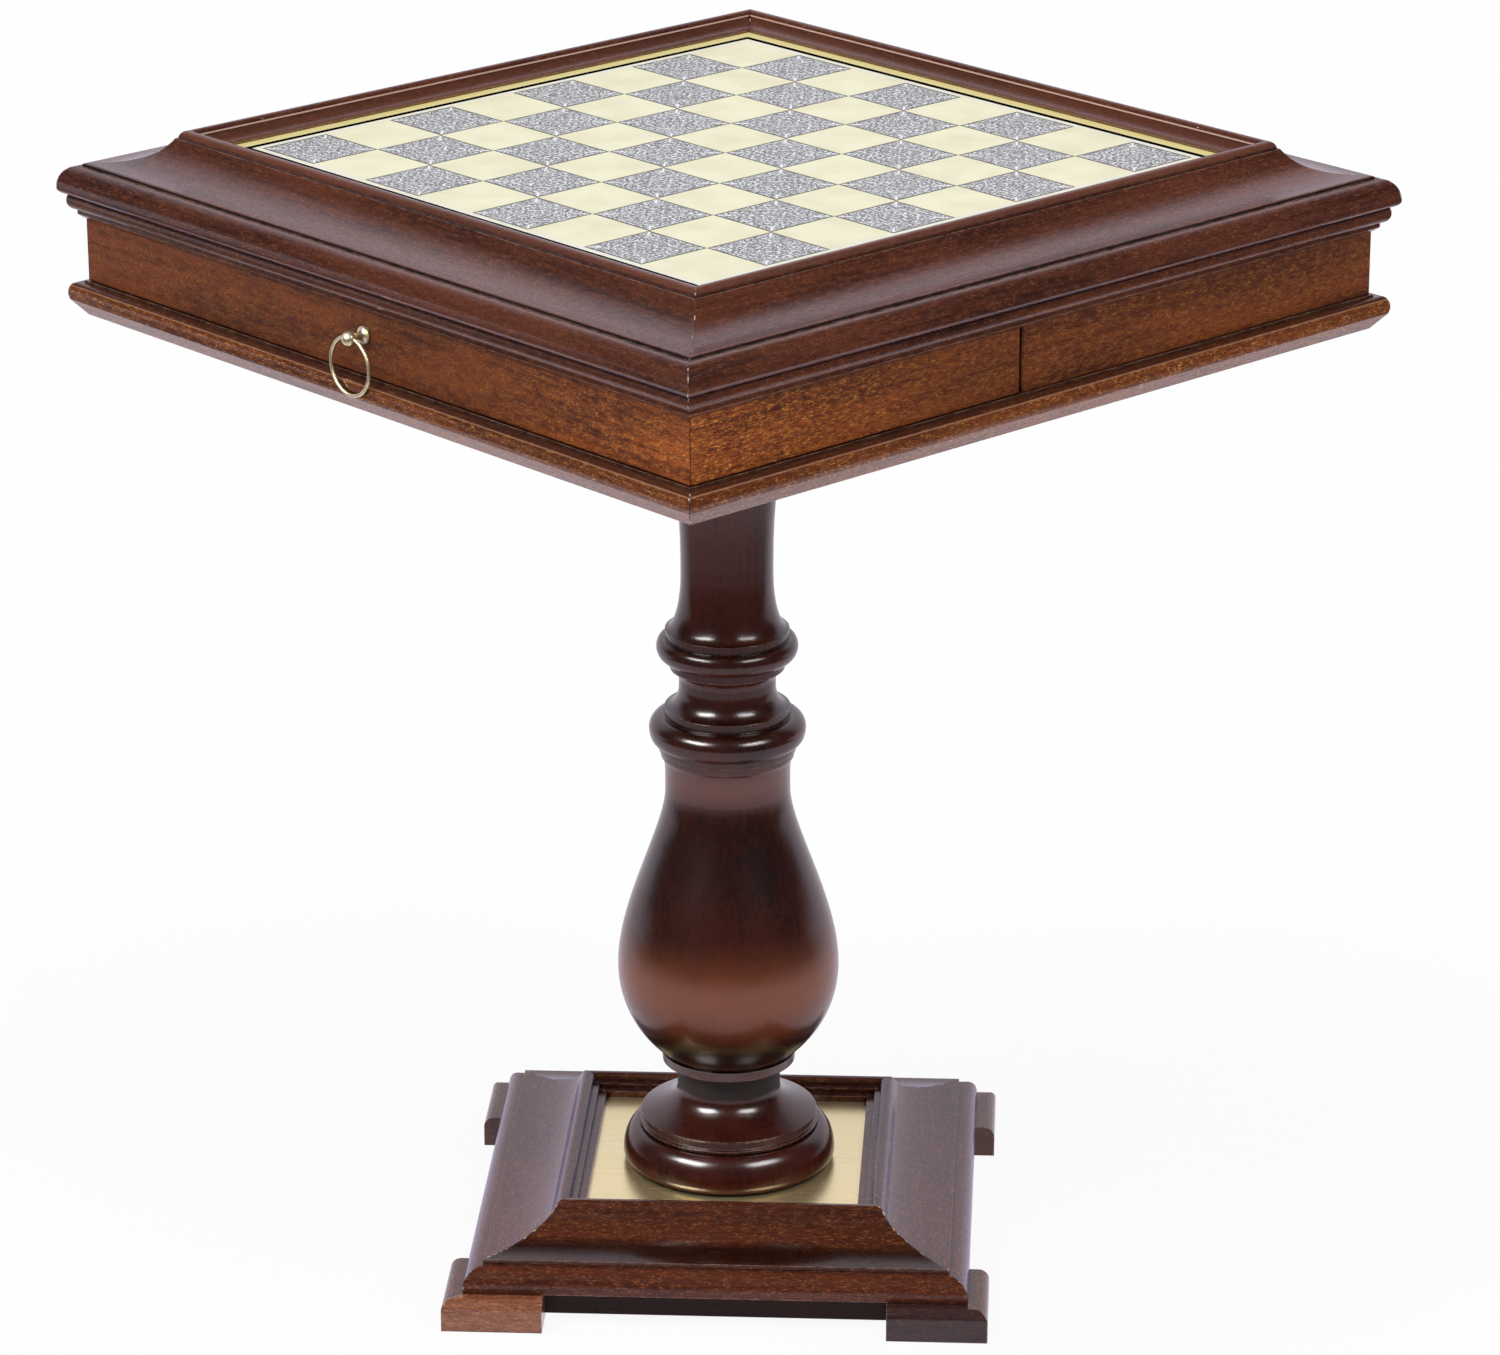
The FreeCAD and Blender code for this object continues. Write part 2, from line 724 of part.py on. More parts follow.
def make_box(block_bottom, panel_top):
    panel_bottom = panel_top - bottom_panel_thickness
    face, reach, inner = lower_rail_section(panel_top, panel_bottom)
    for side, turn in side_turns.items():
        save("lower_moulding_" + side, mitred_rail(face, reach, turn))
    screws = []
    for x, y in screw_places():
        screws.append(block_screw(x, y, block_bottom, block_screw_radius,
                                  block_screw_head_radius))
    screw_group = Part.makeCompound(screws)
    save("block_screws", screw_group)
    panel_hole = upright_hole(rod_radius + rod_wood_clearance,
                              panel_bottom, panel_top)
    panel = slab(inner, panel_bottom, panel_top)
    save("bottom_panel", panel.cut(panel_hole).cut(screw_group))
    block_hole = upright_hole(rod_radius + rod_turning_clearance,
                              block_bottom, panel_bottom)
    mount = slab(mount_block_half, block_bottom, panel_bottom)
    save("mounting_block", mount.cut(block_hole).cut(screw_group))
    apron_top = panel_top + apron_height
    make_fixed_aprons(panel_top, apron_top)
    frame_bottom = apron_top + bed_height
    save("top_panel", slab(top_panel_half, apron_top, frame_bottom))
    face, reach = bed_rail_section(frame_bottom)
    for side, turn in side_turns.items():
        save("bed_moulding_" + side, mitred_rail(face, reach, turn))
    return apron_top, frame_bottom


def apron_board(low, high, turn):
    """Full apron board on one side, mitred at both ends."""
    outer = apron_half
    inner = apron_half - apron_thickness
    points = [point(inner, low), point(inner, high), point(outer, high),
              point(outer, low), point(inner, low)]
    return mitred_rail(section_face(polygon_edges(points)), outer, turn)


def rounded_end(board, level):
    """Ease the outer upright edge at a side board's end."""
    picked = []
    for edge in board.Edges:
        box = edge.BoundBox
        middle = edge.CenterOfMass
        upright = box.ZLength > box.XLength + box.YLength
        at_end = abs(middle.y - level) < end_round_radius / 2
        outside = abs(middle.x) > apron_half - apron_thickness / 2
        if upright and at_end and outside:
            picked.append(edge)
    return solid_of(board.makeFillet(end_round_radius, picked))


def make_fixed_aprons(low, high):
    """Rear half of the drawer box: back board, two side boards and a divider."""
    save("apron_back", apron_board(low, high, side_turns["back"]))
    tip = apron_half + overrun
    front_part = block(FreeCAD.Vector(-tip, -tip, low - overrun),
                       FreeCAD.Vector(tip, -rear_apron_end, high + overrun))
    for side in ("left", "right"):
        board = apron_board(low, high, side_turns[side]).cut(front_part)
        board = rounded_end(board, -rear_apron_end)
        save("apron_rear_" + side, board)
    inner = apron_half - apron_thickness
    divider = block(FreeCAD.Vector(-inner, divider_front, low),
                    FreeCAD.Vector(inner, divider_front + divider_thickness, high))
    save("divider", divider)
    outer = inner - runner_side_gap
    near = -(inner - runner_front_gap)
    runner = block(FreeCAD.Vector(outer - runner_width, near, low),
                   FreeCAD.Vector(outer, divider_front, low + runner_height))
    save("runner_right", runner)
    save("runner_left", runner.mirror(centre, along_x))


# Board and its frame
def frame_rail_section(board_top):
    """Board frame: lip, rim, cove and nosing, with a groove for the board."""
    opening = board_opening_half
    bottom = board_top - frame_below_board
    groove = opening + board_groove_depth
    groove_low = board_top - board_plate_thickness - board_panel_thickness
    inside = [point(opening, bottom), point(opening, groove_low),
              point(groove, groove_low), point(groove, board_top),
              point(opening, board_top), point(opening, board_top + lip_edge)]
    edges = polygon_edges(inside)
    arris = point(opening + lip_run, board_top + lip_rise)
    edges.append(run_then_rise(inside[-1], arris))
    crown = point(arris.x + rim_width * rim_crown_share, arris.y + rim_crown)
    rim_foot = point(arris.x + rim_width, arris.y - rim_outer_fall)
    edges.append(rise_then_run(arris, crown))
    edges.append(run_then_rise(crown, rim_foot))
    cove_top = point(rim_foot.x + rim_groove_width, rim_foot.y + rim_groove_lip)
    cove_end = point(cove_top.x + frame_cove_width, cove_top.y - frame_cove_drop)
    edges.append(straight(rim_foot, cove_top))
    high_handle = point(cove_top.x + frame_cove_width * cove_high_run_share,
                        cove_top.y - frame_cove_drop * cove_high_drop_share)
    low_handle = point(cove_top.x + frame_cove_width * cove_low_run_share,
                       cove_end.y)
    edges.append(curve(cove_top, high_handle, low_handle, cove_end))
    lip_foot = point(cove_end.x + cove_lip_reach, cove_end.y - cove_lip_drop)
    edges.append(run_then_rise(cove_end, lip_foot))
    strip_edge = point(lip_foot.x + ledge_strip_width, lip_foot.y)
    ledge = point(strip_edge.x + ledge_groove_width, lip_foot.y)
    groove_foot = point((strip_edge.x + ledge.x) / 2, ledge.y - ledge_groove_depth)
    edges += polygon_edges([lip_foot, strip_edge, groove_foot, ledge])
    nose = point(cove_end.x + nosing_reach, ledge.y - nosing_belly_drop)
    upper_handle = handle(ledge, nose, nosing_upper_share)
    upper_handle = point(upper_handle.x, ledge.y)
    edges.append(curve(ledge, upper_handle,
                       handle(nose, point(nose.x, ledge.y), round_share), nose))
    nose_foot = point(nose.x - nosing_foot_inset, bottom)
    edges.append(rise_then_run(nose, nose_foot))
    edges.append(straight(nose_foot, inside[0]))
    return section_face(edges), nose.x, groove


def square_frame(outer, inner, low, high):
    """Flat square band between two half widths."""
    return slab(outer, low, high).cut(slab(inner, low - overrun, high + overrun))


def board_squares(low, high, parity):
    """Every second square of the board, as a group of thin tiles."""
    tiles = []
    first = -square_size * squares_per_side / 2
    ease = square_joint / 2
    for column in range(squares_per_side):
        for row in range(squares_per_side):
            if (column + row) % 2 != parity:
                continue
            x = first + column * square_size
            y = first + row * square_size
            near = FreeCAD.Vector(x + ease, y + ease, low)
            far = FreeCAD.Vector(x + square_size - ease,
                                 y + square_size - ease, high)
            tiles.append(block(near, far))
    return Part.makeCompound(tiles)


def make_board(frame_bottom):
    board_top = frame_bottom + frame_below_board
    face, reach, groove = frame_rail_section(board_top)
    for side, turn in side_turns.items():
        save("frame_rail_" + side, mitred_rail(face, reach, turn))
    half = groove - board_fit
    plate_low = board_top - board_plate_thickness
    panel_low = plate_low - board_panel_thickness
    save("board_panel", slab(half, panel_low, plate_low))
    field = square_size * squares_per_side / 2
    margin = field + margin_width
    line = margin + line_width
    inlay_low = board_top - inlay_depth
    recess = slab(line, inlay_low, board_top + overrun)
    save("board_plate", slab(half, plate_low, board_top).cut(recess))
    save("black_line", square_frame(line, margin, inlay_low, board_top))
    save("margin_band", square_frame(margin, field, inlay_low, board_top))
    save("dark_squares", board_squares(inlay_low, board_top, 0))
    save("light_squares", board_squares(inlay_low, board_top, 1))


# Drawer
def bottom_panel_of_drawer(low):
    """Drawer bottom, let into grooves in the front and sides."""
    half = apron_half - apron_thickness + drawer_groove_depth
    back_edge = -drawer_end - drawer_back_inset
    return block(FreeCAD.Vector(-half, -half, low + drawer_bottom_lift),
                 FreeCAD.Vector(half, back_edge,
                                low + drawer_bottom_lift + drawer_bottom_thickness))


def make_drawer(box_low, box_high):
    low = box_low + drawer_running_gap
    high = box_high - drawer_running_gap
    bottom = bottom_panel_of_drawer(low)
    save("drawer_bottom", bottom)
    pull_level = low + (high - low) * pull_height_share
    hole_start = FreeCAD.Vector(-pull_offset, -apron_half - overrun, pull_level)
    hole = Part.makeCylinder(shank_radius, apron_thickness + 2 * overrun,
                             hole_start, along_y)
    front = apron_board(low, high, side_turns["front"])
    save("drawer_front", solid_of(front.cut(bottom).cut(hole)))
    tip = apron_half + overrun
    rear_part = block(FreeCAD.Vector(-tip, -drawer_end, low - overrun),
                      FreeCAD.Vector(tip, tip, high + overrun))
    for side in ("left", "right"):
        board = apron_board(low, high, side_turns[side]).cut(rear_part)
        board = rounded_end(board, -drawer_end)
        save("drawer_side_" + side, solid_of(board.cut(bottom)))
    inner = apron_half - apron_thickness
    back_rear = -drawer_end - drawer_back_inset
    back_low = low + drawer_bottom_lift + drawer_bottom_thickness
    back = block(FreeCAD.Vector(-inner, back_rear - drawer_back_thickness, back_low),
                 FreeCAD.Vector(inner, back_rear, high))
    save("drawer_back", back)
    make_pull(pull_level)


# Ring pull
def pull_outline():
    """Half outline of shank, cup, waist and ball along their common axis."""
    tail = apron_thickness + pull_nut_height
    waist = point(cup_waist_radius, cup_depth)
    ball_start = ball_reach - math.sqrt(ball_radius ** 2 - cup_waist_radius ** 2)
    neck = point(cup_waist_radius, ball_start)
    tip = point(0, ball_reach + ball_radius)
    points = [point(0, -tail), point(shank_radius, -tail), point(shank_radius, 0),
              point(cup_radius, 0), point(cup_radius, cup_rim_depth)]
    edges = polygon_edges(points)
    edges.append(run_then_rise(points[-1], waist))
    edges.append(straight(waist, neck))
    edges.append(Part.Arc(neck, point(ball_radius, ball_reach), tip).toShape())
    edges.append(straight(tip, points[0]))
    return edges


def make_pull(pull_level):
    origin = FreeCAD.Vector(-pull_offset, -apron_half, pull_level)
    face = section_face(pull_outline())
    face.rotate(centre, along_y, 90)
    post = solid_of(face.revolve(centre, along_y, 360))
    ball_centre = along_y * ball_reach
    bore_radius = pivot_radius + pivot_clearance
    for side in (-1, 1):
        start = ball_centre + along_x * side * (pivot_inner_end - pivot_clearance)
        bore = Part.makeCylinder(bore_radius, ball_radius, start, along_x * side)
        post = post.cut(bore)
    post = solid_of(post)
    post.rotate(centre, up, 180)
    post.translate(origin)
    save("pull_post", post)
    nut = Part.makeCylinder(pull_nut_radius, pull_nut_height,
                            origin + along_y * apron_thickness, along_y)
    bore = Part.makeCylinder(shank_radius, apron_thickness + 2 * overrun,
                             origin, along_y)
    save("pull_nut", solid_of(nut.cut(bore)))
    axis_point = origin - along_y * ball_reach
    save("pull_ring", pull_ring(axis_point))


def pull_ring(axis_point):
    """Open ring whose ends turn inwards as pivots in the ball."""
    drop = math.sqrt(ring_mean_radius ** 2 - pivot_outer_end ** 2)
    middle = axis_point - up * drop
    start = axis_point + along_x * pivot_outer_end
    end = axis_point - along_x * pivot_outer_end
    lowest = middle - up * ring_mean_radius
    path = Part.Wire([Part.Arc(start, lowest, end).toShape()])
    tangent_x = drop / ring_mean_radius
    tangent_z = -pivot_outer_end / ring_mean_radius
    tangent = FreeCAD.Vector(tangent_x, 0, tangent_z)
    circle = Part.makeCircle(ring_wire_radius, start, tangent)
    ring = path.makePipeShell([Part.Wire([circle])], True, False)
    for side in (-1, 1):
        root = axis_point + along_x * side * pivot_inner_end
        pivot = Part.makeCylinder(pivot_radius, pivot_outer_end - pivot_inner_end,
                                  root, along_x * side)
        knuckle = Part.makeSphere(ring_wire_radius,
                                  axis_point + along_x * side * pivot_outer_end)
        ring = ring.fuse(knuckle).fuse(pivot)
    return solid_of(ring.removeSplitter())


make_base()
box_block_bottom, box_floor = make_column()
drawer_space_top, board_frame_bottom = make_box(box_block_bottom, box_floor)
make_board(board_frame_bottom)
make_drawer(box_floor, drawer_space_top)
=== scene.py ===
from collections import namedtuple
import math

import bpy
from mathutils import Matrix, Vector


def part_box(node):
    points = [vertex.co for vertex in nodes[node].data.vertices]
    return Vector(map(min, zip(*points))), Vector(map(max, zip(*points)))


# Chess table on a turned pedestal. Metres, +Z up, floor at zero. The drawer
# opens towards -Y, and the main view looks from +X and -Y.

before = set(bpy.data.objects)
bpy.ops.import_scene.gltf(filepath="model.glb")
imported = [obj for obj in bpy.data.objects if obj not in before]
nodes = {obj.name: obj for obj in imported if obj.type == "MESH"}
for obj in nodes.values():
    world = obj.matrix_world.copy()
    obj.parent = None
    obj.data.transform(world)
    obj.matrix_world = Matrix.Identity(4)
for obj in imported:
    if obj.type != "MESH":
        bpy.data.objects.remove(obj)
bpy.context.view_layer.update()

MM = 0.001
SQUARE = 48 * MM
BASE_TURN = math.radians(44.5)
QUARTER = math.pi / 2
BOARD_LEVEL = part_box("light_squares")[1].z

# Places of the Mix node's colour sockets
MIX_FIRST = 6
MIX_SECOND = 7
MIX_RESULT = 2


# Node building


class Graph:
    """Nodes of one node tree."""

    def __init__(self, tree):
        self.tree = tree

    def node(self, kind, **settings):
        made = self.tree.nodes.new("ShaderNode" + kind)
        for key, value in settings.items():
            setattr(made, key, value)
        return made

    def feed(self, socket, value):
        """Link a socket into another, or set a plain value on it."""
        if isinstance(value, bpy.types.NodeSocket):
            self.tree.links.new(value, socket)
        else:
            socket.default_value = value

    def math(self, operation, *values):
        made = self.node("Math", operation=operation)
        for index, value in enumerate(values):
            self.feed(made.inputs[index], value)
        return made.outputs[0]

    def split(self, vector):
        made = self.node("SeparateXYZ")
        self.feed(made.inputs[0], vector)
        return made.outputs

    def place(self, turn=(0, 0, 0), size=(1, 1, 1), origin=(0, 0, 0)):
        """Object coordinates turned and measured in features of this size."""
        coordinates = self.node("TexCoord").outputs["Object"]
        made = self.node("Mapping", vector_type="TEXTURE")
        self.feed(made.inputs["Vector"], coordinates)
        self.feed(made.inputs["Location"], origin)
        self.feed(made.inputs["Rotation"], turn)
        self.feed(made.inputs["Scale"], size)
        return made.outputs[0]

    def noise(self, vector, detail=2.0, roughness=0.5, distortion=0.0):
        made = self.node("TexNoise")
        self.feed(made.inputs["Vector"], vector)
        self.feed(made.inputs["Scale"], 1.0)
        self.feed(made.inputs["Detail"], detail)
        self.feed(made.inputs["Roughness"], roughness)
        self.feed(made.inputs["Distortion"], distortion)
        return made.outputs[0]

    def ramp(self, value, low, high, start=0.0, end=1.0):
        """Smooth step of a value from start to end between two levels."""
        made = self.node("MapRange", interpolation_type="SMOOTHSTEP")
        for name, number in (("Value", value), ("From Min", low),
                             ("From Max", high), ("To Min", start),
                             ("To Max", end)):
            self.feed(made.inputs[name], number)
        return made.outputs[0]

    def blend(self, share, first, second):
        """Mix two colours by the second one's share."""
        made = self.node("Mix", data_type="RGBA")
        self.feed(made.inputs[0], share)
        self.feed(made.inputs[MIX_FIRST], first)
        self.feed(made.inputs[MIX_SECOND], second)
        return made.outputs[MIX_RESULT]

    def bump(self, height, distance, strength, normal=None):
        made = self.node("Bump")
        self.feed(made.inputs["Height"], height)
        self.feed(made.inputs["Distance"], distance)
        self.feed(made.inputs["Strength"], strength)
        if normal is not None:
            self.feed(made.inputs["Normal"], normal)
        return made.outputs[0]

    def edge(self, radius):
        """How near a sharp edge is, from 0 to 1, within a radius."""
        soft = self.node("Bevel", samples=4)
        self.feed(soft.inputs["Radius"], radius)
        true = self.node("NewGeometry").outputs["True Normal"]
        made = self.node("VectorMath", operation="DOT_PRODUCT")
        self.feed(made.inputs[0], soft.outputs[0])
        self.feed(made.inputs[1], true)
        return self.ramp(made.outputs["Value"], 0.995, 0.8)

    def hollow(self, distance):
        """How enclosed a place is, from 0 to 1, within a distance."""
        made = self.node("AmbientOcclusion", samples=8, only_local=False)
        self.feed(made.inputs["Distance"], distance)
        return self.ramp(made.outputs["AO"], 0.85, 0.35)


class Surface(Graph):
    """The nodes of one material."""

    def __init__(self, name):
        self.material = bpy.data.materials.new(name)
        self.material.use_nodes = True
        super().__init__(self.material.node_tree)
        self.shader = self.tree.nodes["Principled BSDF"]

    def finish(self, colour, roughness, normal=None, **sockets):
        self.feed(self.shader.inputs["Base Color"], colour)
        self.feed(self.shader.inputs["Roughness"], roughness)
        if normal is not None:
            self.feed(self.shader.inputs["Normal"], normal)
        for name, value in sockets.items():
            self.feed(self.shader.inputs[name.replace("_", " ")], value)
        return self.material


def colour(red, green, blue):
    """Scene colour from a display colour in 0 to 255."""
    parts = []
    for part in (red, green, blue):
        share = part / 255
        if share <= 0.04045:
            parts.append(share / 12.92)
        else:
            parts.append(((share + 0.055) / 1.055) ** 2.4)
    return (*parts, 1.0)


# Wood

# Features of the grain, along it and across it
CLOUD_SIZE = (160 * MM, 26 * MM, 26 * MM)
STREAK_SIZE = (70 * MM, 2.6 * MM, 2.6 * MM)
MOTTLE_SIZE = (7 * MM, 2.2 * MM, 2.2 * MM)
FIBRE_SIZE = (2.6 * MM, 0.6 * MM, 0.6 * MM)
GRAIN_RELIEF = 0.04 * MM

# Distances from a mitre where its dark line and its painted glints begin and are full
MITRE_LINE = (0.5 * MM, 0.3 * MM)
GLINT_SPREAD = (0.9 * MM, 0.6 * MM)
GLINT_SIZE = (5 * MM,) * 3

# Values of x minus y where painted shade on the box's faces begins and is deepest
FAR_SHADE_SPAN = (0.54, 0.32)

CREVICE_REACH = 3 * MM
SHEEN_ROUGHNESS = 0.3
PORE_TONE = colour(30, 11, 8)
# Painted shade laid into crevices and hollows
CREVICE_SHADE_TONE = colour(12, 5, 4)
MITRE_TONE = colour(22, 9, 8)
# Pale spots along the mitres are painted glints
MITRE_GLINT_TONE = colour(214, 196, 186)


def wood(name, tones, turn, origin, orange=0.5, gloss=0.15, pores=1.0,
         fleck=1.0, sheen=0.0, shine=0.5, round_over=0.5 * MM, bands=(),
         mitre=None, far_shade=0.0, wear_and_highlight_reach=0.9 * MM, glint_share=1.0, dull=()):
    """Stained and lacquered wood, grain along the turned first axis, with painted
    shade and highlights.
    """
    dark, middle, light = tones
    graph = Surface(name)
    cloud = graph.noise(graph.place(turn, CLOUD_SIZE, origin), 3.0, 0.55)
    streak = graph.noise(graph.place(turn, STREAK_SIZE, origin), 4.0, 0.62, 0.4)
    mottle = graph.noise(graph.place(turn, MOTTLE_SIZE, origin), 3.0, 0.65)
    fine = graph.noise(graph.place(turn, FIBRE_SIZE, origin), 2.0, 0.7)
    depth = graph.math("MULTIPLY", cloud, 0.75)
    depth = graph.math("MULTIPLY_ADD", streak, 0.55, depth)
    depth = graph.math("MULTIPLY_ADD", mottle, 0.35 * fleck, depth)
    depth = graph.math("SUBTRACT", depth, 0.325 + 0.175 * fleck)
    tone = graph.blend(graph.ramp(depth, 0.02, 0.5), dark, middle)
    warm = graph.math("MULTIPLY", graph.ramp(fine, 0.5, 0.68),
                      graph.ramp(mottle, 0.4, 0.62, 0.0, orange))
    tone = graph.blend(warm, tone, light)
    pore = graph.math("MULTIPLY", graph.ramp(fine, 0.45, 0.34), 0.6 * pores)
    tone = graph.blend(pore, tone, PORE_TONE)
    for band in bands:
        tone = graph.blend(level_band(graph, band), tone, band.tone)
    # Painted shade: the box's faces darken away from the corner at +X and -Y
    if far_shade:
        x, y, _ = graph.split(graph.node("TexCoord").outputs["Object"])
        towards_corner = graph.math("SUBTRACT", x, y)
        deep = graph.ramp(towards_corner, *FAR_SHADE_SPAN, 0.0, far_shade)
        tone = graph.blend(deep, tone, dark)
    # Painted shade: crevices and hollows darkened almost to black
    crevice_shade = graph.hollow(CREVICE_REACH)
    tone = graph.blend(graph.math("MULTIPLY", crevice_shade, 0.95), tone, CREVICE_SHADE_TONE)
    # Pale edges: partly rubbed wear, partly a painted highlight on the arrises
    worn_and_highlight = graph.math("MULTIPLY", graph.edge(wear_and_highlight_reach),
                      graph.ramp(mottle, 0.35, 0.65, 0.2, 0.9))
    worn_and_highlight = graph.math("MULTIPLY", worn_and_highlight, graph.math("SUBTRACT", 1.0, crevice_shade))
    tone = graph.blend(worn_and_highlight, tone, WORN_EDGE_AND_HIGHLIGHT)
    if mitre is not None:
        away = mitre_distance(graph, mitre)
        line = graph.ramp(away, *MITRE_LINE, 0.0, 0.85)
        tone = graph.blend(line, tone, MITRE_TONE)
        # Painted glints: pale spots along the mitre joints
        glint_spots = graph.noise(graph.place(size=GLINT_SIZE, origin=origin), 2.0)
        glint_spots = graph.math("MULTIPLY", graph.ramp(glint_spots, 0.6, 0.66, 0.0, glint_share),
                           graph.ramp(away, *GLINT_SPREAD))
        tone = graph.blend(glint_spots, tone, MITRE_GLINT_TONE)
    height = graph.math("MULTIPLY_ADD", pore, -0.8,
                        graph.math("MULTIPLY", streak, 0.5))
    rounded = graph.node("Bevel", samples=4)
    graph.feed(rounded.inputs["Radius"], round_over)
    normal = graph.bump(height, GRAIN_RELIEF, 0.5, rounded.outputs[0])
    rough = graph.math("MULTIPLY_ADD", pore, 0.2, gloss)
    for band in dull:
        rough = graph.math("MAXIMUM", rough, level_band(graph, band))
    return graph.finish(tone, rough, normal, Specular_IOR_Level=shine,
                        Sheen_Weight=sheen, Sheen_Roughness=SHEEN_ROUGHNESS,
                        Sheen_Tint=LILAC)


def mitre_distance(graph, angle):
    """Distance from a square frame's mitre joints, turned by an angle."""
    x, y, _ = graph.split(graph.place((0.0, 0.0, angle)))
    return graph.math("ABSOLUTE", graph.math("SUBTRACT", graph.math("ABSOLUTE", x),
                                             graph.math("ABSOLUTE", y)))


def level_band(graph, band):
    """A band's share inside its two levels and two half widths, else none."""
    low, high, inner, outer, soft, _, share = band
    x, y, z = graph.split(graph.node("TexCoord").outputs["Object"])
    reach = graph.math("MAXIMUM", graph.math("ABSOLUTE", x),
                       graph.math("ABSOLUTE", y))
    inside = graph.math("MULTIPLY", graph.ramp(reach, inner - soft, inner + soft),
                        graph.ramp(reach, outer + soft, outer - soft))
    level = graph.math("MULTIPLY", graph.ramp(z, low - soft, low + soft),
                       graph.ramp(z, high + soft, high - soft))
    return graph.math("MULTIPLY", graph.math("MULTIPLY", inside, level), share)


def wood_turn(angle):
    """Turn of the grain in the plane of the floor."""
    return (0.0, 0.0, angle)


UPRIGHT = (0.0, QUARTER, 0.0)
MOULDING = (colour(48, 21, 13), colour(98, 51, 33), colour(170, 108, 70))
APRON = (colour(74, 29, 6), colour(188, 94, 30), colour(238, 164, 72))
LOWER = (colour(76, 34, 16), colour(128, 68, 34), colour(206, 142, 78))
TURNED = (colour(34, 12, 9), colour(74, 27, 16), colour(112, 58, 36))
BASE = (colour(46, 19, 13), colour(92, 46, 32), colour(176, 106, 60))
# A darker copy of the base's wood: painted shade for the core and bottom board
SHADED_BASE_WOOD = (colour(24, 10, 7), colour(48, 22, 15), colour(84, 46, 30))
# Lit and shaded copies of the feet's wood: painted light and painted shade
LIT_FOOT_WOOD = (colour(118, 64, 44), colour(160, 104, 78), colour(196, 138, 96))
SHADED_FOOT_WOOD = (colour(40, 24, 24), colour(66, 46, 46), colour(100, 62, 50))
INNER = (colour(122, 84, 52), colour(168, 124, 82), colour(196, 156, 108))
# Pale tone of edges, partly wear and partly a painted highlight
WORN_EDGE_AND_HIGHLIGHT = colour(198, 162, 138)
LILAC = colour(168, 156, 246)

# A band of stain, painted shade, painted highlight or painted reflection, or of dulled
# lacquer:
# low and high level, inner and outer half width, softness, tone and share
Band = namedtuple("Band", "low high inner outer soft tone share")

BOX_FLOOR_DROP = 6.4 * MM    # from the drawer's bottom down to the box's floor
BOX_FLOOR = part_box("drawer_bottom")[0].z - BOX_FLOOR_DROP
WHOLE_WIDTH = 1.0            # half width that takes in the whole pedestal


def box_band(datum, low, high, inner, outer, soft, tone, share):
    """Band round the box, in millimetres, with its levels above a datum."""
    return Band(datum + low * MM, datum + high * MM, inner * MM, outer * MM,
                soft * MM, tone, share)


def floor_band(low, high, soft, tone, share):
    """Band right across the pedestal, in millimetres above the floor."""
    return Band(low * MM, high * MM, -WHOLE_WIDTH, WHOLE_WIDTH, soft * MM, tone,
                share)


FRAME_LIP = box_band(BOARD_LEVEL, -11.85, -10.4, 265.4, 267.6, 0.1,
                     colour(12, 6, 6), 0.95)
# Painted dark reflection of the apron, with shade under it, on the lower moulding's
# top
LOWER_DARK_REFLECTION = box_band(BOX_FLOOR, -2.6, 0.3, 266.0, 280.0, 0.1,
                       colour(58, 26, 19), 0.75)
# Painted highlight line along the lower moulding's arris
LOWER_ARRIS_HIGHLIGHT = box_band(BOX_FLOOR, -3.3, -2.6, 266.0, 280.0, 0.1,
                      colour(186, 140, 110), 0.5)
# Olive band at the foot of the frame's inner lip, next to the board
FRAME_LIP_FOOT_OLIVE = box_band(BOARD_LEVEL, 0.1, 1.1, 208.0, 216.0, 0.2,
                      colour(128, 92, 22), 0.8)
# Painted shade on the frame's inner lip above the board
FRAME_LIP_SHADE = box_band(BOARD_LEVEL, 1.2, 6.8, 208.0, 219.0, 0.2,
                        colour(94, 56, 44), 0.45)
# Painted highlight along the frame's inner arris
FRAME_ARRIS_HIGHLIGHT = box_band(BOARD_LEVEL, 7.0, 7.9, 218.6, 219.6, 0.15,
                       colour(236, 196, 186), 0.9)
# Painted highlight on the rim's crown, stronger on the two far rails
FAR_RIM_HIGHLIGHT = box_band(BOARD_LEVEL, 7.0, 11.0, 222.5, 227.0, 0.5,
                   colour(144, 95, 77), 0.45)
NEAR_RIM_HIGHLIGHT = box_band(BOARD_LEVEL, 7.0, 11.0, 222.5, 227.0, 0.5,
                    colour(128, 82, 68), 0.35)
# Painted pale reflection on the column's neck
NECK_REFLECTION = floor_band(292, 309, 9, colour(130, 84, 76), 0.7)
# Painted shade on the vase's shoulder, under the top
SHOULDER_SHADE = floor_band(232, 272, 24, colour(26, 8, 6), 0.5)
# Painted light on the vase's belly, as if bounced from the floor
BELLY_LIGHT = floor_band(160, 190, 26, colour(160, 88, 52), 0.75)
# Painted shade and dark reflection under the vase's belly
UNDERSIDE_SHADE = floor_band(121, 143, 10, colour(26, 13, 5), 0.85)
# Painted pale reflection on the ring's face
RING_REFLECTION = floor_band(111.9, 117.6, 0.2, colour(114, 88, 90), 0.75)
# Painted shade on the neck under the ring
FOOT_NECK_SHADE = floor_band(95.5, 111.7, 1, colour(34, 9, 5), 0.9)
DULL_NECK = floor_band(95.0, 111.7, 2, None, 0.6)
PALE_BAND = floor_band(72.1, 76.1, 0.2, colour(104, 76, 74), 0.5)
# Painted shade on the lower cove of the base's front rail
BASE_SHADE = floor_band(36, 40, 1.5, colour(28, 8, 3), 0.85)

SIDES = ("front", "right", "back", "left")


def dress(node_name, material):
    """Give a CAD node its material."""
    node = nodes[node_name]
    for slot in node.material_slots:
        slot.material = material


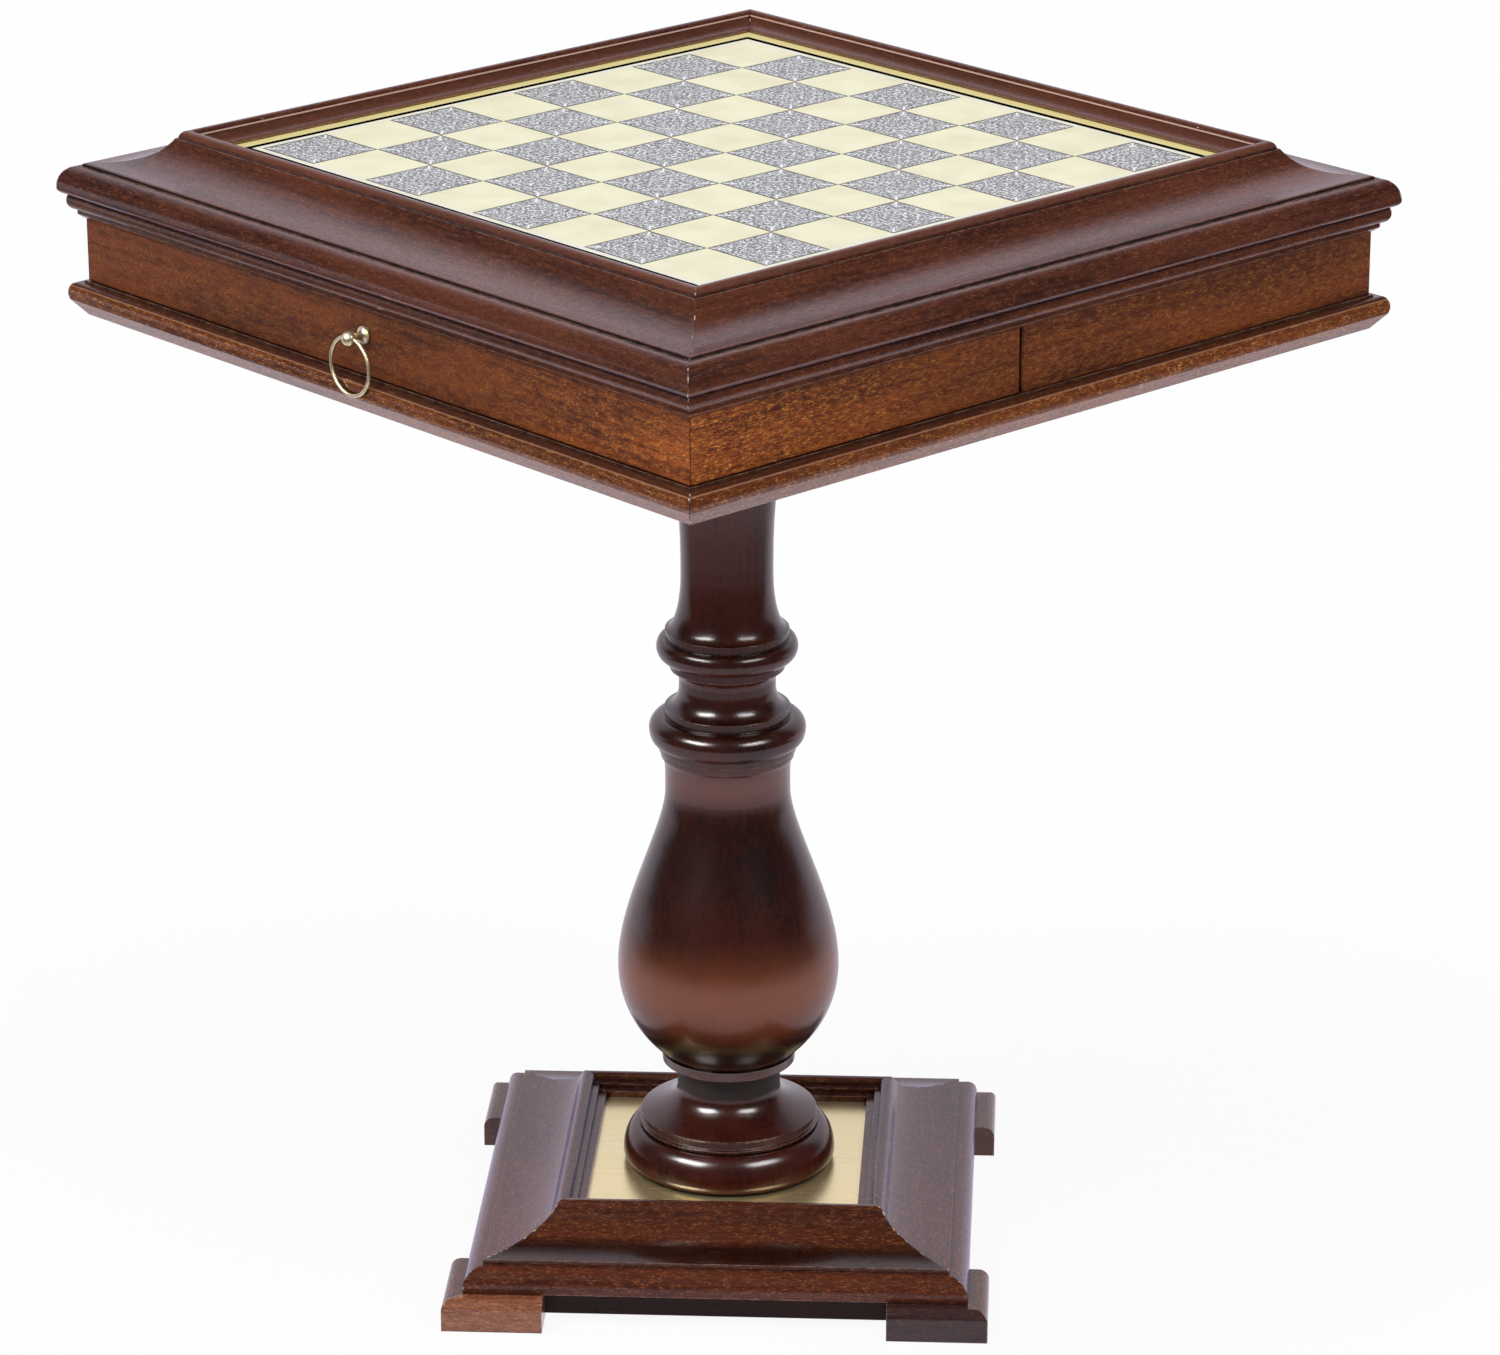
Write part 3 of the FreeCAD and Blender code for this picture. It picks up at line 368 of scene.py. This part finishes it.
def dress_woods():
    """A wood for every wooden piece, each with its own place in the grain."""
    shift = 0.0
    for index, side in enumerate(SIDES):
        along = wood_turn(index * QUARTER)
        for kind in ("frame_rail_", "bed_moulding_", "lower_moulding_"):
            shift += 0.37
            origin = (shift, shift * 0.7, shift * 1.3)
            name = kind + side
            if kind == "lower_moulding_":
                material = wood(name, LOWER, along, origin, orange=1.0,
                                bands=[LOWER_DARK_REFLECTION, LOWER_ARRIS_HIGHLIGHT], mitre=0.0)
            elif kind == "frame_rail_":
                # The far rails take a stronger painted highlight on the rim than the
                # near ones
                rim_highlight = NEAR_RIM_HIGHLIGHT if side in ("front", "right") else FAR_RIM_HIGHLIGHT
                material = wood(name, MOULDING, along, origin, orange=0.4, sheen=0.3,
                                bands=[FRAME_LIP, FRAME_LIP_FOOT_OLIVE, FRAME_LIP_SHADE,
                                       FRAME_ARRIS_HIGHLIGHT, rim_highlight], mitre=0.0)
            else:
                material = wood(name, MOULDING, along, origin, mitre=0.0)
            dress(name, material)
        shift += 0.41
        name = "base_rail_" + side
        along = wood_turn(index * QUARTER + BASE_TURN)
        origin = (shift, shift * 0.6, shift)
        # Only the front rail takes the painted shade in its lower cove
        if side == "front":
            material = wood(name, BASE, along, origin, orange=0.7, shine=0.35,
                            bands=[BASE_SHADE], mitre=BASE_TURN)
        else:
            material = wood(name, BASE, along, origin, orange=0.7, sheen=0.6,
                            mitre=BASE_TURN)
        dress(name, material)
    boards = {"apron_back": 0, "drawer_front": 0, "apron_rear_left": 1,
              "apron_rear_right": 1, "drawer_side_left": 1,
              "drawer_side_right": 1}
    for name, quarter in boards.items():
        shift += 0.53
        origin = (shift, shift * 0.8, shift * 1.1)
        material = wood(name, APRON, wood_turn(quarter * QUARTER), origin,
                        orange=1.0, gloss=0.45, pores=1.3, fleck=1.6, shine=0.2,
                        mitre=0.0, far_shade=0.62, wear_and_highlight_reach=0.3 * MM, glint_share=0.0)
        dress(name, material)
    inner = ("drawer_back", "drawer_bottom", "divider", "runner_left",
             "runner_right", "top_panel", "bottom_panel", "board_panel",
             "mounting_block")
    for name in inner:
        shift += 0.29
        quarter = 1 if name.startswith("runner") else 0
        origin = (shift, shift, shift * 0.9)
        dress(name, wood(name, INNER, wood_turn(quarter * QUARTER), origin,
                         orange=0.4, gloss=0.55))
    for name in ("column", "column_foot"):
        shift += 0.31
        # The turned pieces take bands of painted light, shade and reflection
        dress(name, wood(name, TURNED, UPRIGHT, (shift, 0.02, shift), orange=0.3,
                         gloss=0.22, pores=0.15, fleck=0.35, round_over=0.9 * MM,
                         bands=(BELLY_LIGHT, SHOULDER_SHADE, UNDERSIDE_SHADE,
                                RING_REFLECTION, FOOT_NECK_SHADE, PALE_BAND, NECK_REFLECTION),
                         dull=[DULL_NECK]))
    for name in ("base_core", "base_bottom_board"):
        shift += 0.2
        origin = (shift, shift, shift)
        dress(name, wood(name, SHADED_BASE_WOOD, wood_turn(BASE_TURN), origin, gloss=0.4,
                         shine=0.2))
    for depth in ("front", "back"):
        for side in ("left", "right"):
            for leg, quarter in (("wide", 0), ("deep", 1)):
                shift += 0.43
                name = "foot_" + depth + "_" + side + "_" + leg
                tones = BASE
                # Painted light on the front left foot, painted shade on the front
                # right
                if name == "foot_front_left_wide":
                    tones = LIT_FOOT_WOOD
                if name == "foot_front_right_wide":
                    tones = SHADED_FOOT_WOOD
                along = wood_turn(quarter * QUARTER + BASE_TURN)
                origin = (shift, shift, shift * 0.5)
                dress(name, wood(name, tones, along, origin, orange=0.9))


# Metals and the playing fields


def brushed(name, tint, shade, turn, roughness, metallic):
    """Brushed metal plate with fine lines along the turned first axis."""
    graph = Surface(name)
    lines = graph.noise(
        graph.place(turn, (60 * MM, 0.22 * MM, 0.22 * MM)), 3.0, 0.7)
    cloud = graph.noise(graph.place(turn, (50 * MM,) * 3), 2.0)
    tone = graph.blend(graph.ramp(lines, 0.3, 0.7), shade, tint)
    tone = graph.blend(graph.ramp(cloud, 0.35, 0.75, 0.0, 0.25), tone, shade)
    rough = graph.math("MULTIPLY_ADD", lines, 0.16, roughness)
    normal = graph.bump(lines, 0.01 * MM, 0.35)
    return graph.finish(tone, rough, normal, Metallic=metallic)


def cast_metal(name, tint, shade, roughness):
    """Smooth metal with a cloudy tone, darker in its hollows."""
    graph = Surface(name)
    cloud = graph.noise(graph.place(size=(3 * MM,) * 3), 3.0)
    tone = graph.blend(graph.ramp(cloud, 0.35, 0.75, 0.0, 0.5), tint, shade)
    tone = graph.blend(graph.hollow(2.5 * MM), tone, shade)
    rough = graph.math("MULTIPLY_ADD", cloud, 0.2, roughness)
    normal = graph.bump(cloud, 0.02 * MM, 0.3)
    return graph.finish(tone, rough, normal, Metallic=1.0)


def enamel(name, tint, shade, roughness, shine=0.5):
    """Printed or enamelled metal with a faint change of tone."""
    graph = Surface(name)
    cloud = graph.noise(graph.place(size=(30 * MM,) * 3), 3.0)
    grit = graph.noise(graph.place(size=(0.5 * MM,) * 3), 2.0)
    tone = graph.blend(graph.ramp(cloud, 0.3, 0.8), tint, shade)
    rough = graph.math("MULTIPLY_ADD", grit, 0.12, roughness)
    normal = graph.bump(grit, 0.01 * MM, 0.3)
    return graph.finish(tone, rough, normal, Specular_IOR_Level=shine)


def scroll(graph, across, along, centre_x, centre_y, reach, turns, hand):
    """Line of one spiral scroll that winds out to its reach."""
    x = graph.math("SUBTRACT", across, centre_x)
    y = graph.math("SUBTRACT", along, centre_y)
    angle = graph.math("DIVIDE", graph.math("ARCTAN2", y, x), math.tau * hand)
    square = graph.math("ADD", graph.math("MULTIPLY", x, x),
                        graph.math("MULTIPLY", y, y))
    radius = graph.math("SQRT", square)
    wind = graph.math("MULTIPLY", radius, turns / reach)
    phase = graph.math("FRACT", graph.math("ADD", wind, angle))
    line = graph.math("ABSOLUTE", graph.math("SUBTRACT", phase, 0.5))
    drawn = graph.ramp(line, 0.3, 0.2)
    inside = graph.ramp(radius, reach, reach * 0.86)
    return graph.math("MULTIPLY", drawn, inside), inside


def filigree(name):
    """Squares covered with mirrored scrolls in pale lines on grey."""
    graph = Surface(name)
    coordinates = graph.node("TexCoord").outputs["Object"]
    x, y, _ = graph.split(coordinates)
    half = []
    for axis in (x, y):
        cell = graph.math("FRACT", graph.math("DIVIDE", axis, SQUARE))
        centred = graph.math("SUBTRACT", cell, 0.5)
        half.append(graph.math("MULTIPLY", graph.math("ABSOLUTE", centred), 2.0))
    u, v = half
    big = graph.math("MAXIMUM", u, v)
    small = graph.math("MINIMUM", u, v)
    drawn = 0.0
    covered = 0.0
    scrolls = ((0.36, 0.14, 0.26, 1.7, 1), (0.7, 0.24, 0.24, 1.7, -1),
               (0.5, 0.44, 0.2, 1.4, 1), (0.82, 0.56, 0.2, 1.6, 1),
               (0.9, 0.08, 0.13, 1.2, -1), (0.9, 0.84, 0.12, 1.2, -1),
               (0.66, 0.62, 0.12, 1.0, 1))
    for centre_x, centre_y, reach, turns, hand in scrolls:
        line, inside = scroll(graph, big, small, centre_x, centre_y, reach,
                              turns, hand)
        drawn = graph.math("MAXIMUM", drawn, line)
        covered = graph.math("MAXIMUM", covered, inside)
    leaf = graph.node("TexVoronoi", feature="DISTANCE_TO_EDGE")
    joined = graph.node("CombineXYZ")
    graph.feed(joined.inputs[0], big)
    graph.feed(joined.inputs[1], small)
    graph.feed(leaf.inputs["Vector"], joined.outputs[0])
    graph.feed(leaf.inputs["Scale"], 9.0)
    veins = graph.ramp(leaf.outputs["Distance"], 0.14, 0.05)
    veins = graph.math("MULTIPLY", veins, graph.math("SUBTRACT", 1.0, covered))
    drawn = graph.math("MAXIMUM", drawn, veins)
    grain = graph.noise(graph.place(size=(1.3 * MM,) * 3), 2.0, 0.7)
    ground = graph.blend(graph.ramp(grain, 0.4, 0.6), colour(84, 86, 88),
                         colour(176, 178, 182))
    glint = graph.ramp(grain, 0.42, 0.6)
    tone = graph.blend(graph.math("MULTIPLY", drawn, glint), ground,
                       colour(250, 250, 250))
    spine = graph.math("MULTIPLY",
                       graph.ramp(graph.math("SUBTRACT", big, small), 0.05, 0.03),
                       graph.ramp(big, 0.68, 0.74))
    tone = graph.blend(spine, tone, colour(246, 246, 242))
    border = graph.ramp(big, 0.94, 0.955)
    tone = graph.blend(border, tone, colour(62, 58, 46))
    rough = graph.ramp(drawn, 0.0, 1.0, 0.45, 0.32)
    height = graph.math("SUBTRACT", drawn, border)
    normal = graph.bump(height, 0.05 * MM, 0.4)
    return graph.finish(tone, rough, normal, Specular_IOR_Level=0.3)


def dress_metals():
    gold = brushed("board_brass", colour(250, 238, 176), colour(244, 228, 146),
                   wood_turn(0), roughness=0.26, metallic=0.2)
    dress("board_plate", gold)
    plate = brushed("base_brass", colour(252, 238, 196), colour(236, 220, 158),
                    wood_turn(BASE_TURN), roughness=0.16, metallic=0.8)
    dress("base_brass_plate", plate)
    black = enamel("black_enamel", colour(8, 7, 7), colour(14, 12, 11),
                   roughness=0.5, shine=0.0)
    dress("black_line", black)
    ivory = enamel("ivory_enamel", colour(245, 242, 209), colour(234, 228, 192),
                   roughness=0.38)
    dress("light_squares", ivory)
    pale = enamel("pale_enamel", colour(242, 240, 224), colour(236, 232, 210),
                  roughness=0.38)
    dress("margin_band", pale)
    dress("dark_squares", filigree("silver_filigree"))
    antique = cast_metal("antique_brass", colour(236, 224, 190),
                         colour(150, 130, 88), roughness=0.26)
    dress("pull_post", antique)
    dress("pull_ring", antique)
    steel = cast_metal("zinc_steel", colour(176, 178, 180),
                       colour(120, 122, 124), roughness=0.3)
    for name in ("tie_rod", "rod_nuts", "rod_washers", "bearing_washer",
                 "block_screws", "pull_nut"):
        dress(name, steel)


# Stage, light and camera

FLOOR_GLOW = 0.92            # share of the floor's own white seen directly
WHITE = (1.0, 1.0, 1.0, 1.0)
BACKDROP_TINT = (0.95, 0.9, 1.0, 1.0)
DIM_STUDIO = 0.07            # how bright glossy surfaces see the room's dark sides
STUDIO_LIGHT = (0.97, 0.98, 1.0, 1.0)
STUDIO_STRENGTH = 0.3

FLOOR_SIZE = 60.0
FLOOR_DROP = 0.4 * MM

# Distances from the table where glossy surfaces see the floor dim and bright
FLOOR_NEAR = (1.3, 0.95)
# Distances behind the table where they begin to see it bright and fully do
FLOOR_BEHIND = (0.2, 0.7)
# The same for the studio's direction against the camera's and for its height
STUDIO_FACING = (-0.28, -0.7)
STUDIO_HEIGHT = (0.86, 0.54)

# Perspective fit to the photograph. Angles in degrees, lens in millimetres
CAMERA_PLACE = (2.4263, -2.1917, 1.5539)
CAMERA_TURN = 47.669
CAMERA_TILT = 20.058
CAMERA_ROLL = -0.131
CAMERA_LENS = 138.61
SENSOR_WIDTH = 36.0
CLIP_END = 100.0

LAMP_TARGET = (0, 0, 0.4)


def make_floor(towards_camera):
    """White floor that keeps a soft shadow.

    Glossy surfaces see it dim far from the table, except behind the table.
    """
    bpy.ops.mesh.primitive_plane_add(size=FLOOR_SIZE, location=(0, 0, -FLOOR_DROP))
    floor = bpy.context.object
    floor.name = "floor"
    graph = Surface("floor_paper")
    cloud = graph.noise(graph.place(size=(0.8,) * 3), 2.0)
    tone = graph.blend(cloud, colour(248, 248, 249), colour(250, 250, 250))
    graph.finish(tone, 0.9, Specular_IOR_Level=0.1)
    x, y, _ = graph.split(graph.node("TexCoord").outputs["Object"])
    away = graph.math("SQRT", graph.math("ADD", graph.math("MULTIPLY", x, x),
                                         graph.math("MULTIPLY", y, y)))
    rays = graph.node("LightPath").outputs
    glow = graph.node("Emission")
    seen_tint = graph.blend(rays["Is Camera Ray"], BACKDROP_TINT, WHITE)
    graph.feed(glow.inputs["Color"], seen_tint)
    behind = graph.math("MULTIPLY_ADD", x, -towards_camera[0],
                        graph.math("MULTIPLY", y, -towards_camera[1]))
    near = graph.math("MAXIMUM", graph.ramp(away, *FLOOR_NEAR, DIM_STUDIO, 1.0),
                      graph.ramp(behind, *FLOOR_BEHIND))
    bright = graph.math("MAXIMUM", graph.math("MULTIPLY", near, rays["Is Glossy Ray"]),
                        rays["Is Camera Ray"])
    graph.feed(glow.inputs["Strength"], bright)
    seen = graph.math("MAXIMUM", rays["Is Camera Ray"], rays["Is Transmission Ray"])
    share = graph.math("MAXIMUM", graph.math("MULTIPLY", seen, FLOOR_GLOW),
                       rays["Is Glossy Ray"])
    mixed = graph.node("MixShader")
    graph.feed(mixed.inputs[0], share)
    graph.feed(mixed.inputs[1], graph.shader.outputs[0])
    graph.feed(mixed.inputs[2], glow.outputs[0])
    output = graph.tree.nodes["Material Output"]
    graph.feed(output.inputs["Surface"], mixed.outputs[0])
    floor.data.materials.append(graph.material)


def make_world(towards_camera):
    """White studio that glossy surfaces see bright only low behind the table."""
    world = bpy.data.worlds.new("studio")
    bpy.context.scene.world = world
    world.use_nodes = True
    world.node_tree.nodes.clear()
    graph = Graph(world.node_tree)
    rays = graph.node("LightPath").outputs
    direction = graph.node("TexCoord").outputs["Generated"]
    facing = graph.node("VectorMath", operation="DOT_PRODUCT")
    graph.feed(facing.inputs[0], direction)
    graph.feed(facing.inputs[1], towards_camera)
    height = graph.split(direction)[2]
    backdrop = graph.math("MULTIPLY",
                          graph.ramp(facing.outputs["Value"], *STUDIO_FACING),
                          graph.ramp(height, *STUDIO_HEIGHT))
    backdrop = graph.ramp(backdrop, 0.0, 1.0, DIM_STUDIO, 1.0)
    shown = graph.node("Background")
    graph.feed(shown.inputs["Color"],
               graph.blend(rays["Is Camera Ray"], BACKDROP_TINT, WHITE))
    graph.feed(shown.inputs["Strength"],
               graph.math("MAXIMUM", backdrop, rays["Is Camera Ray"]))
    lit = graph.node("Background")
    graph.feed(lit.inputs["Color"], STUDIO_LIGHT)
    graph.feed(lit.inputs["Strength"], STUDIO_STRENGTH)
    seen = graph.math("MAXIMUM", rays["Is Camera Ray"], rays["Is Glossy Ray"])
    seen = graph.math("MAXIMUM", seen, rays["Is Transmission Ray"])
    mixed = graph.node("MixShader")
    graph.feed(mixed.inputs[0], seen)
    graph.feed(mixed.inputs[1], lit.outputs[0])
    graph.feed(mixed.inputs[2], shown.outputs[0])
    output = graph.node("OutputWorld")
    graph.feed(output.inputs["Surface"], mixed.outputs[0])


def aimed(place, target):
    """Turn that makes a lamp or camera at a place look at a target."""
    direction = Vector(target) - Vector(place)
    return direction.to_track_quat("-Z", "Y").to_euler()


def sun(name, direction, strength, spread):
    """Even light from a wide source far away."""
    lamp = bpy.data.lights.new(name, "SUN")
    lamp.energy = strength
    lamp.angle = math.radians(spread)
    lamp_object = bpy.data.objects.new(name, lamp)
    bpy.context.scene.collection.objects.link(lamp_object)
    lamp_object.rotation_euler = aimed(direction, (0, 0, 0))
    lamp_object.visible_glossy = False


def softbox(name, azimuth, elevation, distance, size, radiance):
    """Rectangular lamp that shows in glossy surfaces."""
    lamp = bpy.data.lights.new(name, "AREA")
    lamp.shape = "RECTANGLE"
    lamp.size, lamp.size_y = size
    lamp.energy = radiance * size[0] * size[1] * math.pi
    lamp_object = bpy.data.objects.new(name, lamp)
    bpy.context.scene.collection.objects.link(lamp_object)
    flat = distance * math.cos(elevation)
    target = Vector(LAMP_TARGET)
    place = target + Vector((flat * math.cos(azimuth), flat * math.sin(azimuth),
                             distance * math.sin(elevation)))
    lamp_object.location = place
    lamp_object.rotation_euler = aimed(place, target)
    lamp_object.visible_diffuse = False


def make_camera():
    camera = bpy.data.cameras.new("camera")
    camera.sensor_width = SENSOR_WIDTH
    camera.lens = CAMERA_LENS
    camera.clip_end = CLIP_END
    camera_object = bpy.data.objects.new("camera", camera)
    bpy.context.scene.collection.objects.link(camera_object)
    turn = Matrix.Rotation(math.radians(CAMERA_TURN), 4, "Z")
    tilt = Matrix.Rotation(math.radians(90 - CAMERA_TILT), 4, "X")
    roll = Matrix.Rotation(math.radians(CAMERA_ROLL), 4, "Z")
    place = Matrix.Translation(CAMERA_PLACE)
    camera_object.matrix_world = place @ turn @ tilt @ roll
    bpy.context.scene.camera = camera_object
    return camera_object


dress_woods()
dress_metals()
camera = make_camera()
view_azimuth = math.atan2(camera.location.y, camera.location.x)
towards_camera = (math.cos(view_azimuth), math.sin(view_azimuth), 0.0)
make_floor(towards_camera)
make_world(towards_camera)
sun("overhead", direction=(0.1, -0.1, 1.0), strength=0.3, spread=60)
sun("key", direction=(-0.15, -0.55, 1.0), strength=1.3, spread=35)
sun("fill", direction=(0.6, 0.05, 1.0), strength=0.95, spread=35)
softbox("left_box", azimuth=view_azimuth - math.radians(53),
        elevation=math.radians(40), distance=2.6, size=(1.4, 0.8), radiance=38.0)
softbox("right_box", azimuth=view_azimuth + math.radians(45),
        elevation=math.radians(40), distance=2.6, size=(1.3, 0.8), radiance=20.0)

scene = bpy.context.scene
scene.view_settings.view_transform = "Standard"
